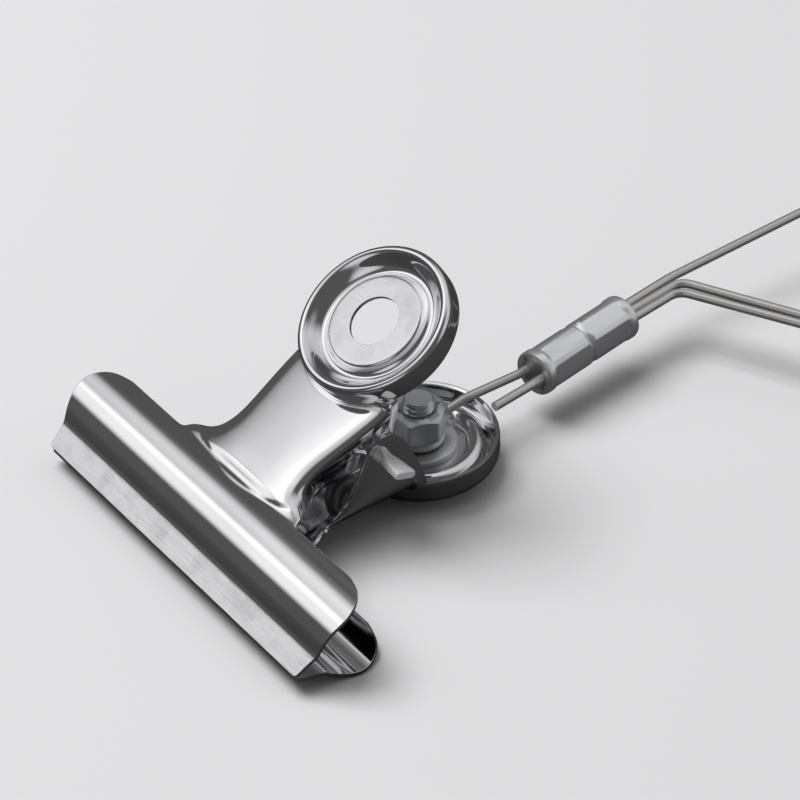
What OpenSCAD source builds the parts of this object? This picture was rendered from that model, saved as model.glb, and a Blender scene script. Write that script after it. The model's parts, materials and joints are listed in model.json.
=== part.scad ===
// Round-handled spring clip with a bolted wire bail. Two pressed sheet-steel jaws turn on a swaged
// pin and a torsion spring. A bolt through the lower handle carries a wire bail closed by a sleeve.
// Sizes are in millimetres. The part is drawn as it lies on a table, on its lower bar and bolt head.
// Inside the jaw modules Y runs from the lips to the handles and Z from the lower to the upper jaw.

/* [Jaws] */
// Length of the gripping lips, end to end
lip_length = 64; // [56:1:70]
// Thickness of the pressed steel sheet
sheet = 0.6; // [0.5:0.05:0.65]
// How far the flat lip runs back from its tip
lip_depth = 3.7; // [3.4:0.1:4]
// Angle between each lip and the plane where the jaws meet
lip_angle = 23; // [21:1:25]
// Outer radius of the bowed bar behind the lip
bar_radius = 8.3; // [8:0.1:8.6]
// Distance from the lip tip to the back edge of the bar
bar_depth = 14.5; // [14:0.1:15]
// How far each end of the bar bows out past the lip
end_bow = 1.7; // [0.5:0.1:2.5]
// Corner radius at the back of each end of the bar
end_radius = 6; // [4:0.5:7]

/* [Neck] */
// Half the width of the neck between its rounded edges
neck_half = 8.4; // [8.2:0.1:8.8]
// Extra half width where the neck flows into the bar
neck_flare = 6; // [4:0.5:7]
// Bend radius between the neck and its side flanges
neck_bend = 1.5; // [1.2:0.1:1.8]
// Outside half width across the upper jaw's ears, which sit inside the lower jaw's
inner_ear_half = 5.9; // [5.8:0.1:6.4]

/* [Handles] */
// Radius of the round handle's rolled rim
rim_radius = 12.4; // [12:0.1:12.8]
// Depth of the handle from its free edge to the crest of the rim
rim_depth = 4; // [3.8:0.1:4.2]
// Radius of the hole in each handle
hole_radius = 4; // [3.5:0.1:4.2]
// Radius of the flat seat round the hole
seat_radius = 7.4; // [7:0.1:7.6]
// Distance from the lip tip to the handle's centre, at its free edge
handle_reach = 44; // [43.5:0.1:44.5]
// Height of the handle's centre from the plane where the jaws meet
handle_rise = 11.6; // [11.4:0.1:11.8]
// Angle between each handle and the plane where the jaws meet
handle_angle = 15.8; // [15.5:0.1:16]

/* [Pin and spring] */
// Distance from the lip tip to the pin
pin_reach = 33.2; // [33:0.1:33.4]
// Radius of the pin
pin_radius = 1.2; // [1:0.05:1.3]
// Length of each flattened pin end
tab_length = 5.4; // [4:0.2:6]
// Width of each flattened pin end
tab_width = 3.6; // [2.8:0.1:4]
// Thickness of each flattened pin end
tab_thickness = 1.3; // [1:0.1:1.6]
// Angle that the flattened pin ends stand at
tab_angle = 145; // [100:5:175]
// Diameter of the spring wire
spring_wire = 1.2; // [1:0.1:1.3]
// Radius of the spring coil at the centre of its wire
coil_radius = 3.2; // [3:0.1:3.3]
// Whole turns in the coil, besides the part turn between its legs
coil_turns = 5; // [4:1:6]

/* [Bolt] */
// Radius of the bolt's shank
bolt_radius = 2.5; // [2:0.5:2.5]
// Radius of the bolt's low round head
head_radius = 4.6; // [4.4:0.1:5]
// Height of the bolt's head
head_height = 2; // [1.6:0.1:2.4]
// Distance across the flats of the nut
nut_flats = 8; // [7.6:0.1:8.4]
// Height of the nut
nut_height = 4.5; // [4:0.1:4.7]
// How far the bolt stands out of the nut
bolt_tip = 1.9; // [1.5:0.1:3]
// Outer radius of the flat washers
washer_radius = 6; // [5:0.1:6.4]
// Thickness of the flat washers
washer_thickness = 1; // [0.8:0.1:1.2]
// Angle that the nut is turned to
nut_turn = -24; // [-60:1:60]

/* [Bail] */
// Diameter of the bail wire
wire = 1.45; // [1.3:0.05:1.5]
// Angle that the bail is swung to at rest
bail_turn = 8; // [-20:1:20]
// Distance from the bolt to the near end of the sleeve
sleeve_start = 21.4; // [20:0.2:24]
// Length of the crimped sleeve
sleeve_length = 20.4; // [18:0.2:21]
// Radius of the sleeve
sleeve_radius = 3.7; // [3.6:0.05:3.9]
// Distance across the flats that the crimping tool leaves
crimp_flats = 6.9; // [6.6:0.1:7.2]
// Distance from the bolt to the corner where the wires part
apex_reach = 55.5; // [52:0.5:60]
// Length of each side of the triangle that meets at that corner
side_length = 48; // [40:1:60]
// Angle of the straight side from the sleeve
straight_side = 6; // [0:1:12]
// Angle of the doubled side from the sleeve
doubled_side = 72; // [60:1:80]
// Inside radius of the wire's bends
bend_radius = 2.2; // [1.5:0.1:3]

/* [Hidden] */
$fn = 96;
// gap between pieces that touch, and clearance round the pin
seat = 0.02;
run = 0.05;
lip_gap = 0.05;
wire_r = wire / 2;
spring_r = spring_wire / 2;

// bar section: the lip's outer face runs tangent-free into a bow centred here
bow_y = lip_depth + 7.1;
bow_z = -2;
lip_tip = [-sheet * sin(lip_angle), lip_gap + sheet * cos(lip_angle)];
// where a line of the given offset from the lip's inner face meets a bow of radius r
function lip_meets(off, r) =
    let (d = [cos(lip_angle), sin(lip_angle)])
    let (p = [-off * sin(lip_angle) - bow_y, lip_gap + off * cos(lip_angle) - bow_z])
    let (b = p * d)
    let (k = -b - sqrt(b * b - p * p + r * r))
    [p[0] + k * d[0] + bow_y, p[1] + k * d[1] + bow_z];
front_corner = lip_meets(sheet, bar_radius);
back_corner = lip_meets(0, bar_radius - sheet);
back_edge_angle = acos((bar_depth - bow_y) / bar_radius);
bar_half = lip_length / 2 + end_bow;

// neck: a channel that runs from inside the bar to the handle, and the edges its flanges are cut to
web_start = [bar_depth - 0.3, 5.75];
web_end = [handle_reach - rim_radius * cos(handle_angle),
    handle_rise - rim_radius * sin(handle_angle) + sheet + 0.1];
web_angle = atan2(web_end[1] - web_start[1], web_end[0] - web_start[0]);
web_length = norm(web_end - web_start) + 5;
flare_length = 5.6;
knee_depth = 6;
deep = 16;
ear_r = 3.5;
ear_low = -0.6;
function ear_arc(y, z, a0, a1) = [for (k = [0 : 8]) let (a = a0 + (a1 - a0) * k / 8)
    [y + ear_r * cos(a), z + ear_r * sin(a)]];
upper_edge = concat([[bar_depth - 2, 4.4], [bar_depth, 4.7], [bar_depth + 1, 4.3], [bar_depth + 2.5, 2.4],
    [bar_depth + 4.5, 0], [bar_depth + 7, -0.3], [bar_depth + 9, 0.1], [bar_depth + 10.5, -0.6],
    [bar_depth + 12, -1.7], [bar_depth + 13.7, -2.8]],
    ear_arc(pin_reach + 0.9, ear_low, 225, 345), [[pin_reach + 4.8, 4], [pin_reach + 5, deep]]);
lower_edge = concat([[bar_depth - 2, 4.4], [bar_depth, 4.7], [bar_depth + 4.5, 5.6], [bar_depth + 6.7, 5.9],
    [bar_depth + 9, 5.6], [bar_depth + 11.6, 4.3], [bar_depth + 13.5, 2.4]],
    ear_arc(pin_reach + 1, 1.2, 195, 345), [[pin_reach + 4.6, 6], [pin_reach + 5, deep]]);

// handle section, from its free edge round the rolled rim and the groove to the seat
roll_radius = 0.8;
seat_drop = 0.94;
seat_z = rim_depth - seat_drop;
groove_z = rim_depth - 2.3;
groove_r = (rim_radius - roll_radius + seat_radius) / 2 - 0.6;
rim_section = concat(
    [[rim_radius - 0.1, 0], [rim_radius, rim_depth * 0.4]],
    [for (a = [0 : 15 : 135]) [rim_radius - roll_radius + roll_radius * cos(a),
        rim_depth - roll_radius + roll_radius * sin(a)]],
    [[groove_r + 1.1, groove_z + 0.75], [groove_r + 0.5, groove_z + 0.15], [groove_r, groove_z],
        [groove_r - 0.5, groove_z + 0.15], [groove_r - 0.9, groove_z + 0.65],
        [seat_radius + 0.15, seat_z - 0.3], [seat_radius - 0.1, seat_z - 0.04],
        [seat_radius - 0.5, seat_z], [hole_radius, seat_z]]);

// bolt stack along the lower handle's axis, measured inward from the handle's free edge
seat_in = -(seat_z - sheet);
seat_out = -seat_z;
washer_top = seat_in + seat + washer_thickness;
eye_z = washer_top + run + wire_r;
nut_z = eye_z + wire_r + run;
nut_top = nut_z + nut_height;
bolt_top = nut_top + bolt_tip;
head_z = seat_out - 2 * seat - washer_thickness;
head_low = head_z - head_height;

// bail wires: three lie side by side in the sleeve
strand_z = wire_r + 0.15;
eye_r = bolt_radius + wire_r + 0.1;
strand_gap = wire + 0.15;
axis_x = eye_r + 0.57;
apex = [axis_x, apex_reach, strand_z];
corner_b = apex + side_length * [sin(straight_side), cos(straight_side), 0];
corner_c = apex + side_length * [sin(doubled_side), cos(doubled_side), 0];
bend = bend_radius + wire_r;

// the table plane touches the lower bar's bow and the rim of the bolt's head
function from_handle(y, z) = [
    handle_reach + y * cos(handle_angle) + z * sin(handle_angle),
    -handle_rise - y * sin(handle_angle) + z * cos(handle_angle)];
head_edge = from_handle(0.4 - head_radius, head_low + 0.15);
bow_to_head = [head_edge[0] - bow_y, head_edge[1] + bow_z];
rest_tilt = atan2(-bow_to_head[1], bow_to_head[0]) - asin(bar_radius / norm(bow_to_head));
function up(p) = p[0] * sin(rest_tilt) + p[1] * cos(rest_tilt);
function along(p) = p[0] * cos(rest_tilt) - p[1] * sin(rest_tilt);
table_z = up(head_edge);
// footprint of the whole part on the table, so that it is drawn centred
bail_tilt = rest_tilt - handle_angle;
function on_table(p) =
    let (q = [p[0] * cos(bail_turn) - p[1] * sin(bail_turn), p[0] * sin(bail_turn) + p[1] * cos(bail_turn)])
    let (f = from_handle(q[1], p[2]))
    [q[0], along(f)];
function unit(v) = v / norm(v);
// centre of the arc that rounds the corner at p between neighbours a and b
function arc_centre(a, p, b, r) =
    let (u = unit(a - p))
    let (v = unit(b - p))
    let (h = acos(u * v) / 2)
    p + unit(u + v) * r / sin(h);
x_low = -bar_half;
x_high = on_table(arc_centre(apex, corner_c, corner_b, bend))[0] + bend + wire + strand_gap - wire_r;
y_low = min(along(lip_tip), along([lip_tip[0], -lip_tip[1]]));
y_high = on_table(arc_centre(apex, corner_b, corner_c, bend))[1] + bend * cos(bail_tilt) + wire_r;
frame_shift = [-(x_low + x_high) / 2, -(y_low + y_high) / 2, -table_z];

module on_rest() {
    translate(frame_shift) rotate([rest_tilt, 0, 0]) children();
}

module upper_handle_frame() {
    translate([0, handle_reach, handle_rise]) rotate([handle_angle, 0, 0]) children();
}

module bolt_frame() {
    translate([0, handle_reach, -handle_rise]) rotate([-handle_angle, 0, 0]) children();
}

module bail_frame() {
    bolt_frame() rotate([0, 0, bail_turn]) children();
}

// ---- jaws ----

// the same line moved to its left by t
function inset_line(line, t) = [for (k = [0 : len(line) - 1])
    let (d = unit(line[min(len(line) - 1, k + 1)] - line[max(0, k - 1)]))
    line[k] + t * [-d[1], d[0]]];
function reversed(line) = [for (k = [len(line) - 1 : -1 : 0]) line[k]];
function bow_angle(p) = atan2(p[1] - bow_z, p[0] - bow_y);
function bow_arc(r, a0, a1) = [for (k = [0 : 20]) let (a = a0 + (a1 - a0) * k / 20)
    [bow_y + r * cos(a), bow_z + r * sin(a)]];

// bar section in the plane across the lips: x is distance from the lip tip, y is height
module bar_section() {
    polygon(concat([[0, lip_gap], lip_tip],
        bow_arc(bar_radius, bow_angle(front_corner), back_edge_angle),
        bow_arc(bar_radius - sheet, back_edge_angle, bow_angle(back_corner))));
}

module bar_outline() {
    corner = [bar_half - end_radius, bar_depth - end_radius];
    tip_x = lip_length / 2;
    right = concat([[tip_x - 1, -1], [tip_x - 0.3, 0], [tip_x, 0.8], [tip_x, lip_depth * 0.4]],
        [for (a = [0 : 7.5 : 90]) corner + end_radius * [cos(a), sin(a)]],
        [[corner[0], bar_depth + 1]]);
    polygon(concat(right, [for (p = reversed(right)) [-p[0], p[1]]]));
}

module bar() {
    intersection() {
        rotate([90, 0, 90]) linear_extrude(2 * bar_half + 2, center = true) bar_section();
        translate([0, 0, -1]) linear_extrude(bar_radius + 2) bar_outline();
    }
}

module neck_frame() {
    translate([0, web_start[0], web_start[1]]) rotate([web_angle, 0, 0]) children();
}

// section across the neck: web, rounded edges and flanges that lean in to the ears
module neck_section(ear_half) {
    lean = atan2(neck_half - ear_half, knee_depth - neck_bend);
    right = concat([[ear_half, -deep], [ear_half, -knee_depth]],
        [for (k = [0 : 6]) let (a = (90 + lean) * (1 - k / 6))
            [neck_half - neck_bend + neck_bend * sin(a), -neck_bend + neck_bend * cos(a)]]);
    outer = concat(right, [for (p = reversed(right)) [-p[0], p[1]]]);
    polygon(concat(outer, reversed(inset_line(outer, sheet))));
}

// the web widens in a curve to meet the bar
module flare() {
    inside = neck_half - neck_bend;
    spread = neck_flare + neck_bend;
    right = concat([[0, -0.9], [inside + neck_flare, -0.9]],
        [for (k = [0 : 8]) let (a = 90 * k / 8)
            [inside + spread - (spread - 0.7) * sin(a), flare_length * (1 - cos(a))]],
        [[inside, flare_length + 1], [0, flare_length + 1]]);
    for (s = [0, 1]) mirror([s, 0, 0]) translate([0, 0, 0.05 - sheet]) linear_extrude(sheet - 0.1)
        polygon(right);
}

module neck(edge, ear_half) {
    intersection() {
        neck_frame() translate([0, web_length - 0.9, 0]) rotate([90, 0, 0])
            linear_extrude(web_length) neck_section(ear_half);
        rotate([90, 0, 90]) linear_extrude(4 * neck_half, center = true)
            polygon(concat(edge, [[bar_depth - 2, deep]]));
    }
    neck_frame() flare();
}

module handle() {
    rotate_extrude() polygon(concat(rim_section, reversed(inset_line(rim_section, sheet))));
}

module jaw(edge, ear_half) {
    bar();
    difference() {
        neck(edge, ear_half);
        upper_handle_frame() translate([0, 0, -0.3]) cylinder(h = rim_depth + 4, r = rim_radius - 0.4);
        translate([0, pin_reach, 0]) rotate([0, 90, 0])
            cylinder(h = 4 * neck_half, r = pin_radius + run, center = true);
    }
    upper_handle_frame() handle();
}

module upper_jaw() {
    color("silver") on_rest() jaw(upper_edge, inner_ear_half);
}

module lower_jaw() {
    color("silver") on_rest() mirror([0, 0, 1]) jaw(lower_edge, neck_half);
}

// ---- pin and spring ----

module pivot_pin() {
    shank = neck_half + 1.5;
    color("darkgray") on_rest() translate([0, pin_reach, 0]) {
        rotate([0, 90, 0]) cylinder(h = 2 * shank, r = pin_radius, center = true);
        for (s = [-1, 1]) translate([s * (shank + tab_length / 2 - 0.3), 0, 0]) rotate([tab_angle, 0, 0])
            cube([tab_length, tab_width, tab_thickness], center = true);
    }
}

// round wire along a list of points, as triangles
function sweep_side(t) = unit(abs(t[0]) > 0.9 ? cross(t, [0, 1, 0]) : cross(t, [1, 0, 0]));
module swept_wire(path, r, sides) {
    n = len(path);
    rings = [for (i = [0 : n - 1])
        let (t = unit(path[min(n - 1, i + 1)] - path[max(0, i - 1)]))
        let (u = sweep_side(t))
        let (v = cross(t, u))
        for (k = [0 : sides - 1]) path[i] + r * (cos(360 * k / sides) * u + sin(360 * k / sides) * v)];
    polyhedron(rings, concat(
        [for (i = [0 : n - 2]) for (k = [0 : sides - 1])
            [i * sides + k, (i + 1) * sides + k, (i + 1) * sides + (k + 1) % sides]],
        [for (i = [0 : n - 2]) for (k = [0 : sides - 1])
            [i * sides + k, (i + 1) * sides + (k + 1) % sides, i * sides + (k + 1) % sides]],
        [[for (k = [0 : sides - 1]) k], [for (k = [sides - 1 : -1 : 0]) (n - 1) * sides + k]]));
}

// each leg runs from the coil into the groove of its own handle
leg_lean = 58;
leg_length = 9.9;
coil_half = 4.1;
coil_steps = 20;
coil_angle = 360 * coil_turns + 2 * (90 - leg_lean);
coil_start = 90 + leg_lean;
coil_path = [for (k = [0 : coil_turns * coil_steps])
    let (a = coil_start + coil_angle * k / (coil_turns * coil_steps))
    [-coil_half + 2 * coil_half * k / (coil_turns * coil_steps),
        coil_radius * cos(a), coil_radius * sin(a)]];
leg_step = leg_length * [0, cos(leg_lean), sin(leg_lean)];
spring_path = concat(
    [coil_path[0] + leg_step, coil_path[0] + leg_step * 0.5],
    coil_path,
    [coil_path[len(coil_path) - 1] + [0, leg_step[1], -leg_step[2]] * 0.5,
        coil_path[len(coil_path) - 1] + [0, leg_step[1], -leg_step[2]]]);

module torsion_spring() {
    color("gray") on_rest() translate([0, pin_reach, 0]) swept_wire(spring_path, spring_r, 8);
}

// ---- bolt, nut and washers ----

module washer(z) {
    bolt_frame() translate([0, 0, z]) difference() {
        cylinder(h = washer_thickness, r = washer_radius);
        translate([0, 0, -1]) cylinder(h = washer_thickness + 2, r = bolt_radius + 0.2);
    }
}

module inner_washer() {
    color("lightgray") on_rest() washer(seat_in + seat);
}

module outer_washer() {
    color("lightgray") on_rest() washer(seat_out - seat - washer_thickness);
}

module bolt() {
    bevel = 0.5;
    color("lightsteelblue") on_rest() bolt_frame() rotate_extrude() polygon([
        [0, head_low], [head_radius - 1.2, head_low], [head_radius - 0.4, head_low + 0.15],
        [head_radius, head_low + 0.8], [head_radius, head_z], [bolt_radius, head_z],
        [bolt_radius, bolt_top - bevel], [bolt_radius - bevel, bolt_top], [0, bolt_top]]);
}

module nut() {
    corner_r = nut_flats / 2 / cos(30);
    bevel = corner_r - nut_flats / 2 + 0.1;
    color("lightsteelblue") on_rest() bolt_frame() difference() {
        intersection() {
            translate([0, 0, nut_z]) rotate([0, 0, nut_turn]) cylinder(h = nut_height, r = corner_r, $fn = 6);
            rotate_extrude() polygon([[0, nut_z], [corner_r - bevel, nut_z], [corner_r, nut_z + bevel * 0.6],
                [corner_r, nut_top - bevel * 0.6], [corner_r - bevel, nut_top], [0, nut_top]]);
        }
        translate([0, 0, nut_z - 1]) cylinder(h = nut_height + 2, r = bolt_radius + 0.03);
    }
}

// ---- bail ----

function turn_to(d) = [0, acos(d[2] / norm(d)), atan2(d[1], d[0])];
// rotation that carries x to a and z to c
function frame_turn(a, c) =
    let (b = cross(c, a))
    [atan2(b[2], c[2]), asin(-a[2]), atan2(a[1], a[0])];

// the straight runs are a hair thinner than the bends and reach a little way into them
lap = 0.1;
shy = 0.01;
module rod(a, b, r) {
    translate(a) rotate(turn_to(b - a)) cylinder(h = norm(b - a), r = r);
}

// distance from corner p to where its rounding starts
function setback(a, p, b, r) =
    let (h = acos(unit(a - p) * unit(b - p)) / 2)
    r / tan(h);

// round wire along straight runs, each corner rounded to its own centre-line radius
module bent_wire(points, radii, r) {
    n = len(points);
    cut = [for (i = [0 : n - 1]) i == 0 || i == n - 1 ? 0
        : setback(points[i - 1], points[i], points[i + 1], radii[i])];
    for (i = [0 : n - 2]) let (d = unit(points[i + 1] - points[i]))
        rod(points[i] + (cut[i] - (i == 0 ? 0 : lap)) * d,
            points[i + 1] - (cut[i + 1] - (i == n - 2 ? 0 : lap)) * d, r - shy);
    for (i = [1 : n - 2])
        let (p = points[i])
        let (c = arc_centre(points[i - 1], p, points[i + 1], radii[i]))
        let (d = unit(p - points[i - 1]))
        let (start = p - cut[i] * d)
        let (x = unit(start - c))
        let (z = cross(x, d))
        let (swing = 180 - 2 * acos(unit(points[i - 1] - p) * unit(points[i + 1] - p)) / 2)
        translate(c) rotate(frame_turn(x, z)) rotate_extrude(angle = swing)
            translate([radii[i], 0]) circle(r);
}

sleeve_end = sleeve_start + sleeve_length;
side_b = [sin(straight_side), cos(straight_side), 0];
side_c = [sin(doubled_side), cos(doubled_side), 0];
out_c = [cos(doubled_side), -sin(doubled_side), 0];
base_dir = unit(corner_c - corner_b);
out_base = [-base_dir[1], base_dir[0], 0];

// the wire runs from an eye round the bolt, through the sleeve, round the triangle and back
leave_angle = 125;
leave = eye_r * [cos(leave_angle), sin(leave_angle)];
rise_start = [leave[0] + 1.2 * sin(leave_angle), leave[1] - 1.2 * cos(leave_angle), eye_z];
rise_end = [0.4, 10, strand_z];
strand_left = [axis_x - strand_gap, 0, strand_z];
strand_right = [axis_x + strand_gap, 0, strand_z];
spread_y = sleeve_end + 1.5;
bail_points = [
    [leave[0], leave[1], eye_z], rise_start, rise_end,
    [strand_left[0], sleeve_start - 1, strand_z], [strand_left[0], spread_y, strand_z],
    apex - 1.1 * side_b - [strand_gap * 0.75, 0, 0], corner_b, corner_c,
    apex + [strand_gap * 0.35, -0.5, 0],
    [axis_x, spread_y, strand_z], [axis_x, sleeve_start + 1.2, strand_z]];
bail_radii = [0, 2, 4, 6, 10, bend, bend, bend, bend, 10, 0];

module bail_wire() {
    color("gainsboro") on_rest() bail_frame() {
        translate([0, 0, eye_z]) rotate([0, 0, leave_angle]) rotate_extrude(angle = 305)
            translate([eye_r, 0]) circle(wire_r);
        bent_wire(bail_points, bail_radii, wire_r);
    }
}

// the second wire doubles one side and is closed round the far corner
tie_apex = apex + [strand_gap * 1.25, -2.6, 0];
tie_points = [
    [axis_x + strand_gap * 0.7, sleeve_start - 10, strand_z],
    [strand_right[0], sleeve_start - 1, strand_z], [strand_right[0], spread_y, strand_z],
    tie_apex,
    corner_c + out_c * strand_gap + side_c * strand_gap * 1.35,
    corner_c - base_dir * 10 + out_base * strand_gap];
tie_radii = [0, 6, 10, bend, bend + strand_gap, 0];

module tie_wire() {
    color("gainsboro") on_rest() bail_frame() bent_wire(tie_points, tie_radii, wire_r);
}

module crimp_sleeve() {
    bore_r = strand_gap + wire_r + 0.12;
    lip = 0.5;
    groove = 0.35;
    half = sleeve_length / 2;
    flats_r = crimp_flats / 2 / cos(30);
    color("whitesmoke") on_rest() bail_frame() translate([axis_x, sleeve_start, strand_z]) rotate([-90, 0, 0])
        difference() {
            union() {
                rotate_extrude() polygon([[0, 0], [sleeve_radius - lip, 0], [sleeve_radius, lip],
                    [sleeve_radius, 1.6], [sleeve_radius - groove, 2.2],
                    [sleeve_radius - groove, sleeve_length - 2.2], [sleeve_radius, sleeve_length - 1.6],
                    [sleeve_radius, sleeve_length - lip], [sleeve_radius - lip, sleeve_length],
                    [0, sleeve_length]]);
                for (z = [1.8, half + 0.5]) intersection() {
                    translate([0, 0, z]) rotate([0, 0, 12]) cylinder(h = half - 2.3, r = flats_r, $fn = 6);
                    cylinder(h = sleeve_length, r = sleeve_radius);
                }
            }
            translate([0, 0, -1]) cylinder(h = sleeve_length + 2, r = bore_r);
        }
}

upper_jaw();
lower_jaw();
pivot_pin();
torsion_spring();
bolt();
nut();
inner_washer();
outer_washer();
bail_wire();
tie_wire();
crimp_sleeve();
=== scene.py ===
"""Looks of the round-handled spring clip: polished pressed jaws, zinc bolt, wire bail and crimped sleeve."""

import json
import math

import bmesh
import bpy
from bpy.props import FloatProperty, FloatVectorProperty, IntProperty, PointerProperty
from mathutils import Matrix, Vector

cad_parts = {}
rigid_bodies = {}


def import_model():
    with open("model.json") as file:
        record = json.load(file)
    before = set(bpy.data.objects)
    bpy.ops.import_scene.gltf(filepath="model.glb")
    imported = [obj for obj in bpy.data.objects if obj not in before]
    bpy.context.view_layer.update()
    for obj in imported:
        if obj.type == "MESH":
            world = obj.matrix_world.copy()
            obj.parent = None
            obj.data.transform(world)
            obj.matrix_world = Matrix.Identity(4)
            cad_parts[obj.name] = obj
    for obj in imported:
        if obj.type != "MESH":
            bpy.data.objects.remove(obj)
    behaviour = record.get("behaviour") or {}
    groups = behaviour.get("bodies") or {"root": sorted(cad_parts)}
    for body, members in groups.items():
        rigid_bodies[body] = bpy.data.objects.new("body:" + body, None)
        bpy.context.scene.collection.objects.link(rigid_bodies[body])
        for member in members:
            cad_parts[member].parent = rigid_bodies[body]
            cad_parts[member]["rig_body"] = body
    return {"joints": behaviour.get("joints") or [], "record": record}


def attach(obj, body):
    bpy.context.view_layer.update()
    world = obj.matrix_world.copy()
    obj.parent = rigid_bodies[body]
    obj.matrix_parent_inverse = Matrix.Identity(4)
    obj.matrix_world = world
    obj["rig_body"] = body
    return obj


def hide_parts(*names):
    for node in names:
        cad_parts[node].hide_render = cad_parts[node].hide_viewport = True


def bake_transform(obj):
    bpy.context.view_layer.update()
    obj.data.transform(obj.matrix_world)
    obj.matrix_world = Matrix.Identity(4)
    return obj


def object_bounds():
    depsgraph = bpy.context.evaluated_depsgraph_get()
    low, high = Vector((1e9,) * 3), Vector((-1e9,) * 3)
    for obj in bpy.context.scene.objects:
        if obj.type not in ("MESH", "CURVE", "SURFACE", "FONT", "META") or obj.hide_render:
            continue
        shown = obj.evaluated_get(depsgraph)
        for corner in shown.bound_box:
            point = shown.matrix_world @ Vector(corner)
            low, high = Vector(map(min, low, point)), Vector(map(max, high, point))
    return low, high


bl_info = {
    "name": "Round-handled spring clip",
    "version": (1, 0, 0),
    "blender": (4, 5, 0),
    "location": "View3D > Sidebar > Spring Clip",
    "description": "Builds the finished pieces of the spring clip around its packed frame",
    "category": "Add Mesh",
}

MM = 0.001
# Points closer than this are one point, in millimetres
SAME_PLACE = 1e-4
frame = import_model()
CAD_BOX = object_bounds()
JOINTS = {joint["name"]: joint for joint in frame["joints"]}


def mount(name):
    """The record's mount of that name."""
    return next(found for found in frame["record"]["mounts"] if found["name"] == name)


# Places of the jaws, the handle and the bolt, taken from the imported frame
MOUTH = mount("jaw_mouth")
SEAT = mount("handle_seat")
BOLT = JOINTS["bail_swivel"]
TILT = math.atan2(-MOUTH["axis"][2], -MOUTH["axis"][1])
HANDLE_TURN = math.atan2(-SEAT["axis"][1], SEAT["axis"][2])
HANDLE_ANGLE = HANDLE_TURN - TILT
BOLT_TURN = math.atan2(-BOLT["axis"][1], BOLT["axis"][2])
JAW_PLACE = Matrix.Translation(MOUTH["pos_m"]) @ Matrix.Rotation(TILT, 4, "X")
PIN_PLACE = Matrix.Translation(JOINTS["jaw_hinge"]["pos_m"]) @ Matrix.Rotation(TILT, 4, "X")
BOLT_PLACE = Matrix.Translation(BOLT["pos_m"]) @ Matrix.Rotation(BOLT_TURN, 4, "X")
# The lower jaw is the upper one turned over
TURNED_OVER = Matrix.Scale(-1, 4, (0, 0, 1))


# ---- settings ----


def length(name, description, millimetres):
    """A length setting, or a plain ratio."""
    return FloatProperty(name=name, description=description, default=millimetres)


def angle(name, description, degrees):
    """An angle setting."""
    return FloatProperty(name=name, description=description, default=math.radians(degrees), subtype="ANGLE")


def colour(name, description, value):
    """A colour setting."""
    return FloatVectorProperty(
        name=name, description=description, default=value, size=3, subtype="COLOR", min=0.0, max=1.0
    )


class ClipJawSettings(bpy.types.PropertyGroup):
    """Sizes of the pressed jaws, in millimetres in their own frame."""

    sheet: length("Sheet thickness", "Thickness of the pressed steel", 0.6)
    lip_depth: length("Lip depth", "Flat lip behind its tip", 3.75)
    lip_half: length("Half lip length", "Half of the lip's length", 32.0)
    lip_angle: angle("Lip angle", "Slope of the lip", 23)
    bar_half: length("Half bar length", "Half the length of the bowed bar", 33.7)
    bar_depth: length("Bar depth", "Lip tip to the bar's back edge", 14.5)
    bow_radius: length("Bow radius", "Outer radius of the bowed bar", 8.3)
    bow_reach: length("Bow centre", "Lip tip to the bow's centre", 10.8)
    bow_height: length("Bow centre height", "Height of the bow's centre", -2.0)
    end_radius: length("End radius", "Corner radius at the bar's ends", 6.0)
    web_start: length("Web start", "Where the neck rises from the bar", 13.3)
    web_height: length("Web height", "Height of the neck where it starts", 5.9)
    web_slope: length("Web slope", "Rise of the neck per unit of reach", 0.161)
    neck_half: length("Half neck width", "Half the width of the neck", 9.0)
    neck_widens: length("Neck widening", "Extra half width at the handle", 1.6)
    neck_bend: length("Neck bend", "Bend between web and flange", 1.5)
    handle_reach: length("Handle reach", "Lip tip to the handle's centre", 44.0)
    handle_rise: length("Handle rise", "Height of the handle's centre", 11.6)
    rim_radius: length("Rim radius", "Radius of the handle's rim", 12.4)
    hole_radius: length("Hole radius", "Radius of the hole in the handle", 4.0)


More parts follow.
